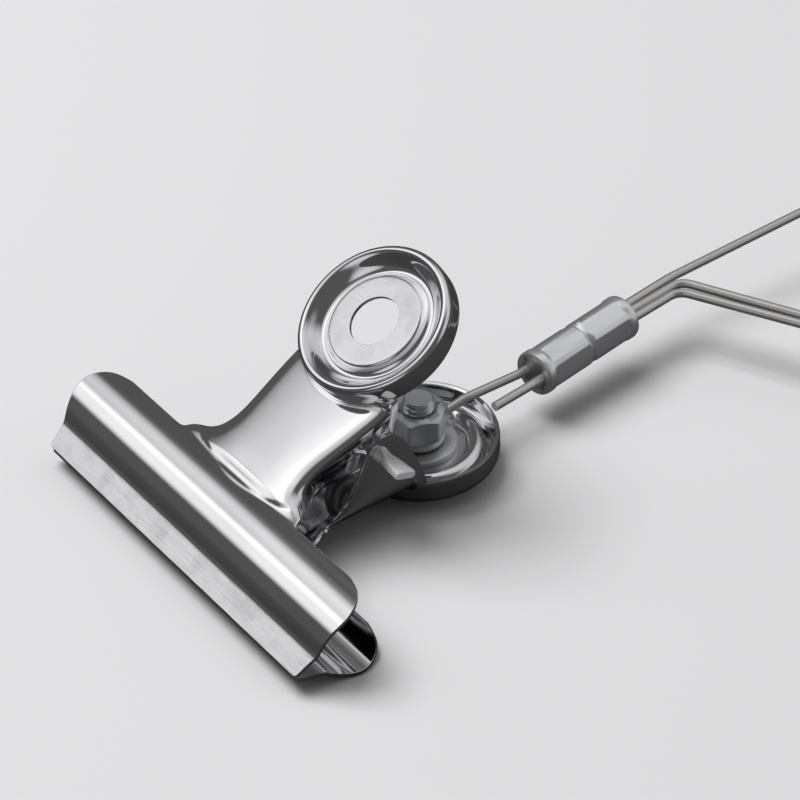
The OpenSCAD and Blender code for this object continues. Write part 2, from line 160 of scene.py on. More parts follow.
class ClipHardwareSettings(bpy.types.PropertyGroup):
    """Sizes of the pin, spring, bolt, nut and washers, in millimetres."""

    pin_radius: length("Pin radius", "Radius of the pin's shank", 1.2)
    pin_half: length("Half pin length", "Half the round part of the pin", 9.6)
    tab_length: length("Tab length", "Length of the flattened pin ends", 5.3)
    tab_width: length("Tab width", "Width of the flattened pin ends", 3.6)
    tab_thickness: length("Tab thickness", "Thickness of the pin ends", 1.3)
    tab_turn: angle("Tab turn", "Angle of the flattened ends", 145)
    spring_wire: length("Spring wire", "Diameter of the spring wire", 1.2)
    coil_radius: length("Coil radius", "Coil radius at the wire's centre", 3.2)
    coil_half: length("Half coil length", "Half the length of the coil", 4.1)
    coil_turns: IntProperty(name="Coil turns", description="Whole turns of the coil", default=5)
    leg_lean: angle("Leg lean", "Angle of the spring's legs", 58)
    leg_length: length("Leg length", "Length of the spring's legs", 9.9)
    bolt_radius: length("Bolt radius", "Radius of the bolt's thread", 2.5)
    thread_pitch: length("Thread pitch", "Rise of the thread per turn", 0.8)
    head_radius: length("Head radius", "Radius of the bolt's head", 4.6)
    head_low: length("Head low", "Underside of the head along the bolt", -6.1)
    head_high: length("Head high", "Bearing face of the head", -4.1)
    bolt_top: length("Bolt top", "End of the bolt above the handle", 6.51)
    nut_flats: length("Nut flats", "Distance across the nut's flats", 8.0)
    nut_low: length("Nut low", "Lower face of the nut", 0.11)
    nut_high: length("Nut high", "Upper face of the nut", 4.61)
    nut_turn: angle("Nut turn", "Angle that the nut stands at", -24)
    washer_radius: length("Washer radius", "Outer radius of the washers", 6.0)
    washer_thickness: length("Washer thickness", "Thickness of the washers", 1.0)
    inner_washer_low: length("Inner washer", "Lower face, inner washer", -2.44)
    outer_washer_low: length("Outer washer", "Lower face, outer washer", -4.08)


class ClipBailSettings(bpy.types.PropertyGroup):
    """Sizes of the bail wires and their sleeve, in millimetres in the frame of the bolt."""

    wire: length("Wire", "Diameter of the bail wire", 1.45)
    turn: angle("Bail turn", "Angle that the bail is swung to", 8)
    eye_height: length("Eye height", "Height of the eye along the bolt", -0.66)
    sleeve_start: length("Sleeve start", "Bolt to the sleeve's near end", 21.4)
    sleeve_length: length("Sleeve length", "Length of the sleeve", 20.4)
    sleeve_radius: length("Sleeve radius", "Radius of the sleeve's round ends", 3.7)
    crimp_flats: length("Crimp flats", "Distance across the crimped flats", 6.75)
    apex_reach: length("Apex reach", "Bolt to the corner of the triangle", 55.5)
    side_length: length("Side length", "Length of the triangle's sides", 48.0)
    straight_side: angle("Straight side", "Angle of the single side", 6)
    doubled_side: angle("Doubled side", "Angle of the doubled side", 72)
    bend_radius: length("Bend radius", "Inside radius of the wire's bends", 2.2)


class ClipFinishSettings(bpy.types.PropertyGroup):
    """Colours of the finishes and the studio."""

    plate: colour("Polished plate", "Nickel plate of the jaws", (0.80, 0.80, 0.82))
    zinc: colour("Zinc plate", "Bolt, nut and washers", (0.76, 0.78, 0.83))
    pin: colour("Pin steel", "Peened steel of the pin", (0.78, 0.78, 0.80))
    spring: colour("Spring steel", "Dark steel of the spring", (0.30, 0.29, 0.28))
    wire: colour("Wire steel", "Drawn steel of the bail", (0.70, 0.69, 0.65))
    tin: colour("Tinned sleeve", "Tin plate of the sleeve", (0.92, 0.92, 0.97))
    floor: colour("Floor", "Plain pale floor", (0.62, 0.62, 0.63))


# ---- mesh helpers ----


def between(table, at):
    """The value at that place in a list of (place, value), along straight lines."""
    if at <= table[0][0]:
        return table[0][1]
    for (a, low), (b, high) in zip(table, table[1:]):
        if at <= b:
            return low + (high - low) * (at - a) / (b - a)
    return table[-1][1]


def ease(t):
    """0 to 1 with level ends."""
    t = min(1.0, max(0.0, t))
    return t * t * (3 - 2 * t)


def spin_round(bm, points, steps, close=False):
    """Turns a line of (radius, height) once round Z."""
    verts = [bm.verts.new((r, 0, z)) for r, z in points]
    ends = verts[1:] + verts[:1] if close else verts[1:]
    edges = [bm.edges.new(pair) for pair in zip(verts, ends)]
    bmesh.ops.spin(
        bm,
        geom=verts + edges,
        cent=(0, 0, 0),
        axis=(0, 0, 1),
        angle=2 * math.pi,
        steps=steps,
        use_merge=True,
    )
    bmesh.ops.remove_doubles(bm, verts=bm.verts, dist=SAME_PLACE)
    bmesh.ops.recalc_face_normals(bm, faces=bm.faces)


def loft(bm, rings, sides, cap=True):
    """Skins rings one after another. A ring is a function from an angle to a point."""
    loops = []
    for ring in rings:
        made = bmesh.ops.create_circle(bm, cap_ends=False, segments=sides, radius=1.0)["verts"]
        for v in made:
            v.co = Vector(ring(math.atan2(v.co.y, v.co.x)))
        loops.append(made)
    for a, b in zip(loops, loops[1:]):
        edges = [e for e in bm.edges if all(v in a for v in e.verts) or all(v in b for v in e.verts)]
        bmesh.ops.bridge_loops(bm, edges=edges)
    if cap:
        for loop in (loops[0], loops[-1]):
            bmesh.ops.contextual_create(bm, geom=loop)
    bmesh.ops.recalc_face_normals(bm, faces=bm.faces)


def finish_piece(name, bm, place, materials, body, stands_for=(), sharp=35):
    """Puts a mesh in place in metres, shades it, and lets it ride on its body."""
    bmesh.ops.transform(bm, matrix=place @ Matrix.Scale(MM, 4), verts=bm.verts)
    if place.determinant() < 0:
        bmesh.ops.reverse_faces(bm, faces=bm.faces)
    for face in bm.faces:
        face.smooth = True
    for edge in bm.edges:
        edge.smooth = edge.calc_face_angle(0) < math.radians(sharp)
    mesh = bpy.data.meshes.new(name)
    bm.to_mesh(mesh)
    bm.free()
    for material in materials:
        mesh.materials.append(material)
    piece = bpy.data.objects.new(name, mesh)
    bpy.context.scene.collection.objects.link(piece)
    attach(piece, body)
    if stands_for:
        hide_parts(*stands_for)
    return piece


def subdivided(bm, levels):
    """The same mesh after Catmull-Clark subdivision."""
    mesh = bpy.data.meshes.new("cage")
    bm.to_mesh(mesh)
    bm.free()
    cage = bpy.data.objects.new("cage", mesh)
    bpy.context.scene.collection.objects.link(cage)
    smooth = cage.modifiers.new("Subdivide", "SUBSURF")
    smooth.levels = levels
    smooth.render_levels = levels
    bpy.context.view_layer.update()
    result = bpy.data.meshes.new_from_object(cage.evaluated_get(bpy.context.evaluated_depsgraph_get()))
    smoothed = bmesh.new()
    smoothed.from_mesh(result)
    bpy.data.objects.remove(cage)
    bpy.data.meshes.remove(result)
    return smoothed


def joined(*parts):
    """One mesh made of several."""
    whole = bmesh.new()
    for part in parts:
        mesh = bpy.data.meshes.new("part")
        part.to_mesh(mesh)
        part.free()
        whole.from_mesh(mesh)
        bpy.data.meshes.remove(mesh)
    return whole


# ---- materials ----


def shader(name):
    """A new material's nodes, links and Principled shader."""
    material = bpy.data.materials.new(name)
    material.use_nodes = True
    nodes = material.node_tree.nodes
    return material, nodes, material.node_tree.links, nodes["Principled BSDF"]


def group_of(name, inputs, outputs):
    """A new shader node group with its named sockets."""
    group = bpy.data.node_groups.new(name, "ShaderNodeTree")
    for socket, kind, value in inputs:
        made = group.interface.new_socket(socket, in_out="INPUT", socket_type=kind)
        if value is not None:
            made.default_value = value
    for socket, kind in outputs:
        group.interface.new_socket(socket, in_out="OUTPUT", socket_type=kind)
    return group, group.nodes.new("NodeGroupInput"), group.nodes.new("NodeGroupOutput")


def handled_metal():
    """Faint cloudy marks and fine scratches that vary gloss, tone and height."""
    group, given, out = group_of(
        "Handled metal",
        [
            ("Vector", "NodeSocketVector", None),
            ("Cloud Scale", "NodeSocketFloat", 90.0),
            ("Scratch Scale", "NodeSocketFloat", 900.0),
            ("Gloss", "NodeSocketFloat", 0.08),
            ("Dulling", "NodeSocketFloat", 0.05),
            ("Tone", "NodeSocketColor", (0.8, 0.8, 0.8, 1)),
            ("Stain", "NodeSocketColor", (0.7, 0.7, 0.7, 1)),
        ],
        [("Color", "NodeSocketColor"), ("Roughness", "NodeSocketFloat"), ("Height", "NodeSocketFloat")],
    )
    nodes, link = group.nodes, group.links.new
    cloud = nodes.new("ShaderNodeTexNoise")
    cloud.inputs["Detail"].default_value = 4.0
    link(given.outputs["Vector"], cloud.inputs["Vector"])
    link(given.outputs["Cloud Scale"], cloud.inputs["Scale"])
    stretch = nodes.new("ShaderNodeMapping")
    stretch.inputs["Scale"].default_value = (0.06, 1.0, 1.0)
    stretch.inputs["Rotation"].default_value = (0.3, 0.2, 0.5)
    link(given.outputs["Vector"], stretch.inputs["Vector"])
    scratch = nodes.new("ShaderNodeTexNoise")
    scratch.inputs["Detail"].default_value = 2.0
    link(stretch.outputs["Vector"], scratch.inputs["Vector"])
    link(given.outputs["Scratch Scale"], scratch.inputs["Scale"])
    lines = nodes.new("ShaderNodeMapRange")
    lines.inputs["From Min"].default_value = 0.62
    lines.inputs["From Max"].default_value = 0.72
    link(scratch.outputs["Fac"], lines.inputs["Value"])
    marks = nodes.new("ShaderNodeMapRange")
    marks.inputs["From Min"].default_value = 0.45
    marks.inputs["From Max"].default_value = 0.75
    link(cloud.outputs["Fac"], marks.inputs["Value"])
    both = nodes.new("ShaderNodeMath")
    both.operation = "MULTIPLY_ADD"
    both.inputs[1].default_value = 0.45
    link(lines.outputs["Result"], both.inputs[0])
    link(marks.outputs["Result"], both.inputs[2])
    rough = nodes.new("ShaderNodeMath")
    rough.operation = "MULTIPLY_ADD"
    link(both.outputs["Value"], rough.inputs[0])
    link(given.outputs["Dulling"], rough.inputs[1])
    link(given.outputs["Gloss"], rough.inputs[2])
    tone = nodes.new("ShaderNodeMix")
    tone.data_type = "RGBA"
    link(marks.outputs["Result"], tone.inputs["Factor"])
    link(given.outputs["Tone"], tone.inputs["A"])
    link(given.outputs["Stain"], tone.inputs["B"])
    height = nodes.new("ShaderNodeMath")
    height.operation = "MULTIPLY_ADD"
    height.inputs[1].default_value = -0.35
    link(lines.outputs["Result"], height.inputs[0])
    link(cloud.outputs["Fac"], height.inputs[2])
    link(tone.outputs["Result"], out.inputs["Color"])
    link(rough.outputs["Value"], out.inputs["Roughness"])
    link(height.outputs["Value"], out.inputs["Height"])
    return group


def drawn_grain():
    """Fine lines along one direction, as drawing, brushing or peening leaves."""
    group, given, out = group_of(
        "Drawn grain",
        [
            ("Vector", "NodeSocketVector", None),
            ("Direction", "NodeSocketVector", None),
            ("Squash", "NodeSocketVector", None),
            ("Scale", "NodeSocketFloat", 2500.0),
        ],
        [("Lines", "NodeSocketFloat")],
    )
    nodes, link = group.nodes, group.links.new
    turn = nodes.new("ShaderNodeMapping")
    link(given.outputs["Vector"], turn.inputs["Vector"])
    link(given.outputs["Direction"], turn.inputs["Rotation"])
    squash = nodes.new("ShaderNodeVectorMath")
    squash.operation = "MULTIPLY"
    link(turn.outputs["Vector"], squash.inputs[0])
    link(given.outputs["Squash"], squash.inputs[1])
    noise = nodes.new("ShaderNodeTexNoise")
    noise.inputs["Detail"].default_value = 3.0
    link(squash.outputs["Vector"], noise.inputs["Vector"])
    link(given.outputs["Scale"], noise.inputs["Scale"])
    link(noise.outputs["Fac"], out.inputs["Lines"])
    return group


def effect(name, build):
    """The shared node group of that name, built once."""
    return bpy.data.node_groups.get(name) or build()


def metal(name, tone, gloss, dulling, cloud_scale=90.0, bump=0.02, grain=None, grain_bump=0.0, metallic=1.0):
    """A metal with handling marks and, where grain is (turn, squash, scale), lines along one direction."""
    if bpy.data.materials.get(name):
        return bpy.data.materials[name]
    material, nodes, links, bsdf = shader(name)
    bsdf.inputs["Metallic"].default_value = metallic
    place = nodes.new("ShaderNodeTexCoord")
    marks = nodes.new("ShaderNodeGroup")
    marks.node_tree = effect("Handled metal", handled_metal)
    marks.inputs["Cloud Scale"].default_value = cloud_scale
    marks.inputs["Gloss"].default_value = gloss
    marks.inputs["Dulling"].default_value = dulling
    marks.inputs["Tone"].default_value = (*tone, 1)
    marks.inputs["Stain"].default_value = (*(0.9 * c for c in tone), 1)
    links.new(place.outputs["Object"], marks.inputs["Vector"])
    links.new(marks.outputs["Color"], bsdf.inputs["Base Color"])
    links.new(marks.outputs["Roughness"], bsdf.inputs["Roughness"])
    relief = nodes.new("ShaderNodeBump")
    relief.inputs["Strength"].default_value = bump
    relief.inputs["Distance"].default_value = 0.0004
    links.new(marks.outputs["Height"], relief.inputs["Height"])
    links.new(relief.outputs["Normal"], bsdf.inputs["Normal"])
    if grain:
        turn, squash, scale = grain
        lines = nodes.new("ShaderNodeGroup")
        lines.node_tree = effect("Drawn grain", drawn_grain)
        lines.inputs["Direction"].default_value = turn
        lines.inputs["Squash"].default_value = squash
        lines.inputs["Scale"].default_value = scale
        links.new(place.outputs["Object"], lines.inputs["Vector"])
        fine = nodes.new("ShaderNodeBump")
        fine.inputs["Strength"].default_value = grain_bump
        fine.inputs["Distance"].default_value = 0.0002
        links.new(lines.outputs["Lines"], fine.inputs["Height"])
        links.new(relief.outputs["Normal"], fine.inputs["Normal"])
        links.new(fine.outputs["Normal"], bsdf.inputs["Normal"])
    return material


def polished_plate():
    """Bright nickel plate of the jaws."""
    tone = bpy.context.scene.clip_finish.plate
    return metal("polished_plate", tone, gloss=0.055, dulling=0.035, cloud_scale=70.0, bump=0.012)


def satin_plate():
    """The same plate where the press tool leaves it duller: the lips and the handle seats."""
    tone = bpy.context.scene.clip_finish.plate
    tone = tuple(0.93 * c for c in tone)
    return metal(
        "satin_plate",
        tone,
        gloss=0.24,
        dulling=0.05,
        cloud_scale=260.0,
        bump=0.03,
        grain=((0, 0, 0), (0.08, 1.0, 1.0), 4200.0),
        grain_bump=0.12,
    )


def zinc_plate():
    """Bluish zinc plate of the bolt, the nut and the washers."""
    tone = bpy.context.scene.clip_finish.zinc
    return metal("zinc_plate", tone, gloss=0.17, dulling=0.14, cloud_scale=420.0, bump=0.10, metallic=0.6)


def peened_steel():
    """Rough grey steel of the pin's hammered ends."""
    tone = bpy.context.scene.clip_finish.pin
    return metal("peened_steel", tone, gloss=0.3, dulling=0.2, cloud_scale=800.0, bump=0.5, metallic=0.35)


def spring_steel():
    """Dark oiled spring wire."""
    tone = bpy.context.scene.clip_finish.spring
    return metal("spring_steel", tone, gloss=0.25, dulling=0.2, cloud_scale=500.0, bump=0.1)


def wire_steel():
    """Bright drawn wire with faint lines along it."""
    tone = bpy.context.scene.clip_finish.wire
    return metal(
        "wire_steel",
        tone,
        gloss=0.14,
        dulling=0.10,
        cloud_scale=300.0,
        bump=0.05,
        grain=((0, 0, 0), (1.0, 0.05, 1.0), 3500.0),
        grain_bump=0.08,
    )


def tinned_sleeve():
    """Bright satin tin with fine lines along the sleeve."""
    tone = bpy.context.scene.clip_finish.tin
    return metal(
        "tinned_sleeve",
        tone,
        gloss=0.22,
        dulling=0.12,
        cloud_scale=380.0,
        bump=0.12,
        grain=((0, 0, 0), (1.0, 0.08, 1.0), 3000.0),
        grain_bump=0.15,
        metallic=0.35,
    )


# ---- jaws ----

# Half positions of the control lines across the bar; the first eight run on along the neck
NECK_LINES = (0.0, 3.4, 5.8, 7.6, 9.1, 10.6, 12.4, 14.2)
BAR_LINES = NECK_LINES + (17.5, 21.5, 25.5, 28.7, 31.0, 32.5, 33.4, 33.7)
# How far the flat sheet at the bar has turned into the neck's channel, by distance from the lip
UPPER_FOLD = (
    (14.5, 0), (15.5, 0.05), (16.4, 0.13), (17.3, 0.26), (18.4, 0.42), (19.8, 0.6), (21.6, 0.8), (24, 1)
)
LOWER_FOLD = (
    (14.5, 0), (15.5, 0.15), (16.4, 0.35), (17.3, 0.6), (18.4, 0.8), (19.8, 0.95), (21.6, 1), (24, 1)
)
# Lower edge of each flange as (distance from the lip, height)
UPPER_EDGE = (
    (18.0, 0.4), (19.4, -0.2), (21.4, -0.3), (23.6, -0.1), (25.0, -0.9), (26.4, -2.0),
    (28.2, -3.2), (30.4, -3.7), (34.1, -4.2), (36.7, -3.3), (37.6, -1.9),
)
LOWER_EDGE = (
    (17.0, 6.3), (19.0, 5.8), (21.2, 5.5), (23.4, 5.3), (25.9, 4.0), (27.9, 2.2), (29.6, 0.2), (31.3, -1.3),
    (33.4, -2.5), (35.7, -2.1), (37.0, -1.0), (37.8, 0.8),
)
# Distances from the lip at which the neck and the ears behind it have control rows
NECK_ROWS = (15.5, 16.4, 17.3, 18.4, 19.8, 21.6, 23.6, 25.6, 27.4, 29.0, 30.4, 31.4)
EAR_ROWS = (36.2, 37.2, 37.8, 38.05)
# How the lower edge of the last ear rows rounds upwards, as (distance from the lip, rise)
EAR_LIFT = ((36.2, 0.0), (37.2, 0.1), (37.8, 0.9), (38.05, 3.6))
# Below the web the flanges lean inwards down to this depth
KNEE_DEPTH = 11.0
# The web is higher along its middle than where it bends
CROWN = 0.6
# The neck widens from this distance, and from the next one its rows bend to follow the round rim
WIDENS_FROM = 20
FOLLOWS_FROM = 24
# The neck runs this far in under the rim, and the ears end this far below it
RIM_INSET = 0.1
EAR_BELOW_RIM = 0.25
# The step that raises the neck from the bar: its height, and how much it curves back on both sides
STEP_HEIGHT = 0.22
STEP_CURVE = 0.021
# Gap between each lip's tip and the plane where the jaws meet
LIP_GAP = 0.05
# Half width of an upper and a lower ear, over their outer faces
UPPER_EAR_HALF = 5.9
LOWER_EAR_HALF = 8.4


def bow(jaw, reach):
    """Height of the bow's outer face."""
    return jaw.bow_height + math.sqrt(max(0.0, jaw.bow_radius**2 - (reach - jaw.bow_reach) ** 2))


def web(jaw, reach):
    """Height of the neck's outer face along its middle."""
    return jaw.web_height + jaw.web_slope * (reach - jaw.web_start)


def bar_section(jaw):
    """Outer line of the bar from the lip's tip to its back edge, as (reach, height)."""
    along = Vector((math.cos(jaw.lip_angle), math.sin(jaw.lip_angle)))
    tip = Vector((-jaw.sheet * math.sin(jaw.lip_angle), LIP_GAP + jaw.sheet * math.cos(jaw.lip_angle)))
    centre = Vector((jaw.bow_reach, jaw.bow_height))
    # control points crowd at each bend, so that subdivision keeps it crisp
    flat = [tip + along * d for d in (0.0, 0.35, 0.5 * jaw.lip_depth, jaw.lip_depth - 0.45, jaw.lip_depth)]
    start = math.atan2(flat[-1].y - centre.y, flat[-1].x - centre.x) - math.radians(4)
    end = math.acos((jaw.bar_depth - jaw.bow_reach) / jaw.bow_radius)
    turns = (0.0, 0.06, 0.18, 0.32, 0.46, 0.6, 0.74, 0.86, 0.94, 1.0)
    arc = [
        centre + jaw.bow_radius * Vector((math.cos(a), math.sin(a)))
        for a in (start + (end - start) * t for t in turns)
    ]
    return flat + arc


def bar_end(jaw, reach):
    """Half length of the bar at that reach: a straight flare from the lip, then a round corner."""
    corner = jaw.bar_depth - jaw.end_radius
    if reach <= corner:
        half = jaw.lip_half
        flare = ((-0.3, half - 0.6), (0.1, half - 0.15), (1.5, half), (corner, jaw.bar_half))
        return between(flare, reach)
    return jaw.bar_half - jaw.end_radius + math.sqrt(max(0.0, jaw.end_radius**2 - (reach - corner) ** 2))


def bar_point(jaw, line, reach, height):
    """Place of a control point on the bar."""
    x = BAR_LINES[line]
    inner = NECK_LINES[-1]
    if x > inner:
        x = inner + (x - inner) * (bar_end(jaw, reach) - inner) / (jaw.bar_half - inner)
    return x, reach, height


def rim_front(jaw, x):
    """Reach at which the handle's rim stands over a point of the neck."""
    forward = math.sqrt(max(0.0, (jaw.rim_radius - RIM_INSET) ** 2 - x * x))
    return jaw.handle_reach - math.cos(HANDLE_ANGLE) * forward


def under_handle(jaw, reach):
    """Height of the handle's free edge."""
    return jaw.handle_rise + (reach - jaw.handle_reach) * math.tan(HANDLE_ANGLE)


def neck_point(jaw, line, row, fold, edge, ear_half):
    """Place of a control point on the neck: the flat sheet folds down into a channel as it leaves the bar."""
    middle = rim_front(jaw, 0)
    half = jaw.neck_half + jaw.neck_widens * ease((row - WIDENS_FROM) / (middle - WIDENS_FROM))
    flat = half - jaw.neck_bend
    across = (0, 0.45 * flat, 0.8 * flat, flat + 0.05, half - 0.22 * jaw.neck_bend, half)[min(line, 5)]
    late = max(0.0, (row - FOLLOWS_FROM) / (middle - FOLLOWS_FROM))
    reach = row + (rim_front(jaw, min(across, jaw.neck_half)) - middle) * late
    deep = web(jaw, reach) - between(edge, reach)
    bend = min(jaw.neck_bend, 0.55 * deep)
    # each control line of the folded channel, as (half width, depth under the web)
    channel = (
        (across, 0),
        (across, CROWN * (across / half) ** 2),
        (across, CROWN * (across / half) ** 2),
        (across, CROWN * (across / half) ** 2 + 0.02),
        (across, CROWN + 0.2 * bend),
        (half, CROWN + bend),
        (half + (ear_half - half) * min(1, 0.5 * deep / KNEE_DEPTH + 0.12), max(1.5 * bend, 0.55 * deep)),
        (half + (ear_half - half) * min(1, deep / KNEE_DEPTH), deep),
    )[line]
    drop = web(jaw, jaw.bar_depth) - bow(jaw, jaw.bar_depth)
    sheet = (NECK_LINES[line], drop * ease((NECK_LINES[line] - 3) / 9))
    share = between(fold, row)
    x = sheet[0] + (channel[0] - sheet[0]) * share
    depth = sheet[1] + (channel[1] - sheet[1]) * share
    return x, reach, web(jaw, reach) - depth


def ear_point(jaw, line, row, edge, ear_half):
    """Place of a control point on the ear behind the end of the web."""
    half = jaw.neck_half + jaw.neck_widens
    top = under_handle(jaw, row) - EAR_BELOW_RIM
    low = between(edge, row) + between(EAR_LIFT, row)
    share = {5: 0.0, 6: 0.5, 7: 1.0}[line]
    height = top + (low - top) * share
    depth = web(jaw, row) - height
    return half + (ear_half - half) * min(1, depth / KNEE_DEPTH), row, height


def pressed_sheet(jaw, fold, edge, ear_half):
    """Outer skin of the bar and neck as a control grid: rows run from the lip to the ears."""
    section = bar_section(jaw)
    lines = len(BAR_LINES) - 1
    # the web's last rows turn up into the handle, as (reach, height) from the rim
    rise = ((-0.75, 0.0), (-0.2, 0.1), (0.02, 0.55), (0.0, 1.2))
    rows = len(section) + len(NECK_ROWS) + len(rise) + len(EAR_ROWS)
    bm = bmesh.new()
    bmesh.ops.create_grid(bm, x_segments=2 * lines, y_segments=rows - 1, size=1)
    columns = sorted({round(v.co.x, 4) for v in bm.verts})
    levels = sorted({round(v.co.y, 4) for v in bm.verts})
    lost = []
    for v in bm.verts:
        line = columns.index(round(v.co.x, 4)) - lines
        row = levels.index(round(v.co.y, 4))
        side = -1 if line < 0 else 1
        line = abs(line)
        if row < len(section):
            x, y, z = bar_point(jaw, line, *section[row])
        elif line >= len(NECK_LINES):
            lost.append(v)
            continue
        elif row < len(section) + len(NECK_ROWS):
            x, y, z = neck_point(jaw, line, NECK_ROWS[row - len(section)], fold, edge, ear_half)
        elif row < len(section) + len(NECK_ROWS) + len(rise):
            step = rise[row - len(section) - len(NECK_ROWS)]
            x, y, z = neck_point(jaw, line, rim_front(jaw, 0), fold, edge, ear_half)
            y += step[0] if line < 5 else 0.35 * step[0] + 0.12 * (row - len(section) - len(NECK_ROWS))
            if line < 5:
                y -= math.tan(HANDLE_ANGLE) * step[1]
                z += step[1]
        elif line >= 5:
            at = EAR_ROWS[row - len(section) - len(NECK_ROWS) - len(rise)]
            x, y, z = ear_point(jaw, line, at, edge, ear_half)
        else:
            lost.append(v)
            continue
        v.co = (side * x, y, z)
    bmesh.ops.delete(bm, geom=lost, context="VERTS")
    for face in bm.faces:
        if face.calc_center_median().y < jaw.lip_depth - 0.5:
            face.material_index = 1
    bm.normal_update()
    if sum(face.normal.z for face in bm.faces) < 0:
        bmesh.ops.reverse_faces(bm, faces=bm.faces)
    return bm


def swage(bm, jaw):
    """Raises the neck's web out of the bar along a curved step."""
    for v in bm.verts:
        x, reach, _ = v.co
        start = jaw.web_start - 0.25 + STEP_CURVE * x * x
        if reach < jaw.bar_depth + 6 and abs(x) < 13:
            step = ease((reach - start) / 0.9) * (1 - ease((reach - start - 1.0) / 5.0))
            v.co.z += STEP_HEIGHT * step * (1 - ease((abs(x) - 9) / 4))


def round_handle(jaw):
    """Outer skin of the round handle: rolled rim, dished groove and flat seat round the hole."""
    rim = jaw.rim_radius
    hole = jaw.hole_radius
    outline = (
        (rim - 0.12, 0.0),
        (rim - 0.02, 0.25),
        (rim, 1.4),
        (rim + 0.02, 2.7),
        (rim - 0.02, 3.3),
        (rim - 0.3, 3.82),
        (rim - 0.8, 4.03),
        (rim - 1.3, 3.86),
        (rim - 1.75, 3.35),
        (rim - 2.3, 2.6),
        (rim - 2.9, 1.98),
        (rim - 3.5, 1.72),
        (rim - 4.05, 1.82),
        (rim - 4.5, 2.3),
        (rim - 4.78, 2.86),
        (rim - 4.98, 3.04),
        (rim - 5.3, 3.06),
        (rim - 6.2, 3.06),
        (hole + 1.0, 3.06),
        (hole + 0.15, 3.06),
        (hole, 3.06),
    )
    bm = bmesh.new()
    spin_round(bm, outline, 64)
    for face in bm.faces:
        centre = face.calc_center_median()
        if math.hypot(centre.x, centre.y) < rim - 5.05:
            face.material_index = 1
    bm.normal_update()
    if sum(face.normal.z * face.calc_area() for face in bm.faces) < 0:
        bmesh.ops.reverse_faces(bm, faces=bm.faces)
    smoothed = subdivided(bm, 2)
    place = Matrix.Translation((0, jaw.handle_reach, jaw.handle_rise)) @ Matrix.Rotation(HANDLE_ANGLE, 4, "X")
    bmesh.ops.transform(smoothed, matrix=place, verts=smoothed.verts)
    return smoothed


# Rounding of the sheet's cut edges
EDGE_ROUND = 0.09


def jaw_piece(name, fold, edge, ear_half, place, body):
    """A whole jaw in polished sheet steel, with its wall thickness and softened edges."""
    jaw = bpy.context.scene.clip_jaws
    sheet = subdivided(pressed_sheet(jaw, fold, edge, ear_half), 2)
    swage(sheet, jaw)
    whole = joined(sheet, round_handle(jaw))
    plates = [polished_plate(), satin_plate()]
    piece = finish_piece(name, whole, place, plates, body, (name,), 80)
    wall = piece.modifiers.new("Wall", "SOLIDIFY")
    wall.thickness = jaw.sheet * MM
    wall.offset = -1.0
    soft = piece.modifiers.new("Edges", "BEVEL")
    soft.width = EDGE_ROUND * MM
    soft.segments = 2
    soft.limit_method = "ANGLE"
    soft.angle_limit = math.radians(55)
    return piece


class CLIP_OT_jaws(bpy.types.Operator):
    """Builds the two pressed jaws, with their bars, necks, ears and round handles."""

    bl_idname = "clip.jaws"
    bl_label = "Jaws"

    def execute(self, context):
        jaw_piece("upper_jaw", UPPER_FOLD, UPPER_EDGE, UPPER_EAR_HALF, JAW_PLACE, "upper_clip")
        jaw_piece("lower_jaw", LOWER_FOLD, LOWER_EDGE, LOWER_EAR_HALF, JAW_PLACE @ TURNED_OVER, "lower_clip")
        return {"FINISHED"}


# ---- pin and spring ----


def rounded_box_ring(reach, width, thickness, power):
    """A ring across X between a circle (power 1) and a rounded slab (power under 1)."""

    def ring(angle):
        c, s = math.cos(angle), math.sin(angle)
        y = math.copysign(abs(c) ** power, c) * width / 2
        z = math.copysign(abs(s) ** power, s) * thickness / 2
        return reach, y, z

    return ring


class CLIP_OT_pin(bpy.types.Operator):
    """Builds the pin, round through the ears and hammered flat at both ends."""

    bl_idname = "clip.pin"
    bl_label = "Pin"

    def execute(self, context):
        size = context.scene.clip_hardware
        shank, tab = 2 * size.pin_radius, size.tab_length
        stations = [
            (0.0, shank, shank, 1.0),
            (size.pin_half - 0.8, shank, shank, 1.0),
            (size.pin_half - 0.1, 0.92 * shank, 0.86 * shank, 0.95),
            (size.pin_half + 0.5, 0.96 * shank, 0.72 * shank, 0.8),
            (size.pin_half + 1.1, size.tab_width * 0.72, size.tab_thickness * 1.12, 0.55),
            (size.pin_half + 2.2, size.tab_width * 0.84, size.tab_thickness * 1.03, 0.42),
            (size.pin_half + tab - 0.35, size.tab_width, size.tab_thickness, 0.38),
            (size.pin_half + tab - 0.08, size.tab_width * 0.97, size.tab_thickness * 0.9, 0.42),
            (size.pin_half + tab, size.tab_width * 0.9, size.tab_thickness * 0.7, 0.5),
        ]
        left = [(-x, *rest) for x, *rest in reversed(stations[1:])]
        bm = bmesh.new()
        loft(bm, [rounded_box_ring(*station) for station in left + stations], 40)
        bmesh.ops.rotate(
            bm, verts=bm.verts, cent=(0, 0, 0), matrix=Matrix.Rotation(size.tab_turn, 3, "X")
        )
        finish_piece(
            "pivot_pin", bm, PIN_PLACE, [peened_steel()], "lower_clip", ("pivot_pin",)
        )
        return {"FINISHED"}


